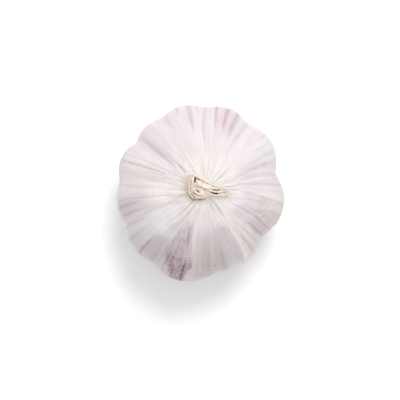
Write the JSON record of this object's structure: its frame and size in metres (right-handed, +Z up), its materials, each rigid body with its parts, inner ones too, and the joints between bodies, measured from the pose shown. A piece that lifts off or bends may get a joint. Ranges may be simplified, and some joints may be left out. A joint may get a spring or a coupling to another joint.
{
  "type": "garlic bulb",
  "caption": "Whole unpeeled garlic bulb: lobed cloves in papery white and mauve skin, a short cut neck of rolled leaf sheaths, and a flat root plate to rest on.",
  "frame": {"origin": "middle of the flat spot under the root plate, on which the bulb rests", "axes": "+Z up through the neck, -Z out of the flat spot, +Y away from the camera of the main view, along the bulb's widest girth, +X to the right"},
  "size_m": [0.0586, 0.0618, 0.0479],
  "materials": {
    "dry_skin": "papery, dry, satin along the veins, white with mauve streaks",
    "leaf_sheath": "dry and fibrous, cream, browned at its cut edges",
    "cut_stem": "dry cut stem, pale cream, matt",
    "cork": "corky and rough, tan"
  },
  "bodies": {
    "root": {"bulb": "dry_skin", "wrapper_leaf": "dry_skin", "outer_sheath": "leaf_sheath", "middle_sheath": "leaf_sheath", "inner_sheath": "leaf_sheath", "tail_fold": "leaf_sheath", "neck_core": "cut_stem", "root_plate": "cork"}
  },
  "joints": []
}
